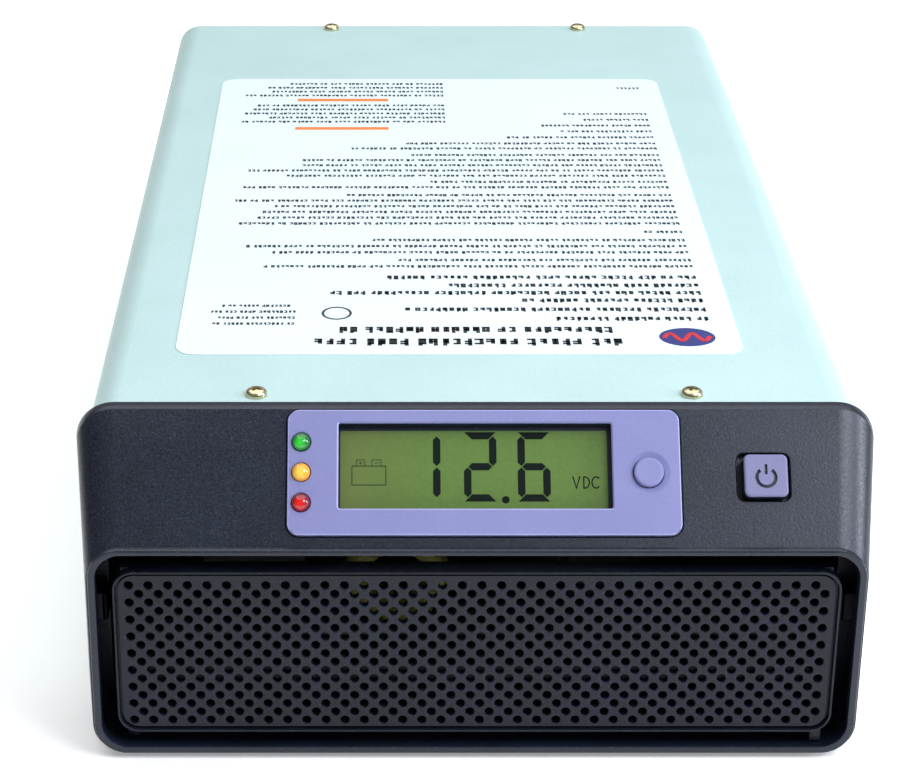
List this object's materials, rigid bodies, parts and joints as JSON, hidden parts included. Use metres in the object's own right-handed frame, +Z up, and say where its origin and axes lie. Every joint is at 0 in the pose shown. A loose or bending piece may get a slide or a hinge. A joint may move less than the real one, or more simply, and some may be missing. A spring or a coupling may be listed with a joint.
{
  "type": "power inverter",
  "caption": "Mains power inverter: pale steel case, dark moulded front with a sloping display face, perforated intake grille, rear fan and battery studs.",
  "frame": {"origin": "middle of the footprint, on the surface that the feet stand on", "axes": "-Y out of the front face, +X to the right of someone facing the front, +Z up"},
  "size_m": [0.203, 0.3856, 0.088],
  "materials": {
    "case_paint": "pale mint powder coat, fine texture, satin",
    "front_moulding": "dark navy grey, fine spark-eroded grain",
    "display_surround": "lavender grey, satin",
    "button": "lavender grey, fine texture",
    "lcd": "olive green reflective liquid crystal",
    "white_moulding": "white, satin",
    "lens_green": "clear green, glossy",
    "lens_yellow": "clear yellow, glossy",
    "lens_red": "clear red, glossy",
    "circuit_board": "green solder mask",
    "black_moulding": "black, satin",
    "red_moulding": "red, satin",
    "plated_steel": "zinc plated, satin",
    "screw_plate": "nickel plated, slightly yellow",
    "foot_rubber": "black, matt",
    "label": "white polyester label, satin",
    "bare_aluminium": "extruded, satin",
    "yellow_winding": "yellow winding tape",
    "capacitor_sleeve": "dark blue sleeve",
    "fuse_orange": "orange, glossy",
    "brass": "machined, bright"
  },
  "bodies": {
    "housing": {"front_bezel": "front_moulding", "front_grille": "front_moulding", "display_panel": "display_surround", "lcd_glass": "lcd", "lcd_backlight": "white_moulding", "display_board": "circuit_board", "led_green": "lens_green", "led_yellow": "lens_yellow", "led_red": "lens_red", "display_switch": "black_moulding", "power_switch": "black_moulding", "top_cover": "case_paint", "chassis": "plated_steel", "front_crossbar": "plated_steel", "rear_panel": "case_paint", "rating_label": "label", "main_board": "circuit_board", "input_choke": "yellow_winding", "output_choke": "black_moulding", "transfer_relay": "black_moulding", "bulk_capacitor_left": "capacitor_sleeve", "bulk_capacitor_right": "capacitor_sleeve", "control_board": "circuit_board", "transformer_left": "yellow_winding", "transformer_right": "yellow_winding", "input_capacitor_1": "capacitor_sleeve", "input_capacitor_2": "capacitor_sleeve", "input_capacitor_3": "capacitor_sleeve", "fuse_block": "fuse_orange", "heatsink_left": "bare_aluminium", "heatsink_right": "bare_aluminium", "transistor_row_left": "black_moulding", "transistor_row_right": "black_moulding", "fan_frame": "black_moulding", "fan_guard": "plated_steel", "dc_base_positive": "red_moulding", "dc_base_negative": "black_moulding", "dc_stud_positive": "brass", "dc_stud_negative": "brass", "dc_nut_positive": "plated_steel", "dc_nut_negative": "plated_steel", "ground_stud": "brass", "wiring_cover": "case_paint", "ac_terminal_block": "black_moulding", "remote_jack": "black_moulding", "cover_screw_front_left": "screw_plate", "cover_screw_front_right": "screw_plate", "cover_screw_rear_left": "screw_plate", "cover_screw_rear_right": "screw_plate", "side_screw_left_1": "screw_plate", "side_screw_left_2": "screw_plate", "side_screw_right_1": "screw_plate", "side_screw_right_2": "screw_plate", "foot_front_left": "foot_rubber", "foot_front_right": "foot_rubber", "foot_rear_left": "foot_rubber", "foot_rear_right": "foot_rubber"},
    "power_key": {"power_button": "button"},
    "display_key": {"display_button": "display_surround"},
    "rotor": {"fan_rotor": "black_moulding"}
  },
  "joints": [
    {"name": "power_press", "type": "slide", "parent": "housing", "child": "power_key", "axis": [0, 0.7547, -0.6561], "range_m": [0, 0.0015], "stiffness_N_per_m": 400},
    {"name": "display_press", "type": "slide", "parent": "housing", "child": "display_key", "axis": [0, 0.7547, -0.6561], "range_m": [0, 0.0005], "stiffness_N_per_m": 400},
    {"name": "fan_spin", "type": "hinge", "parent": "housing", "child": "rotor", "pos_m": [0, 0.16025, 0.045], "axis": [0, 1, 0], "continuous": true}
  ]
}
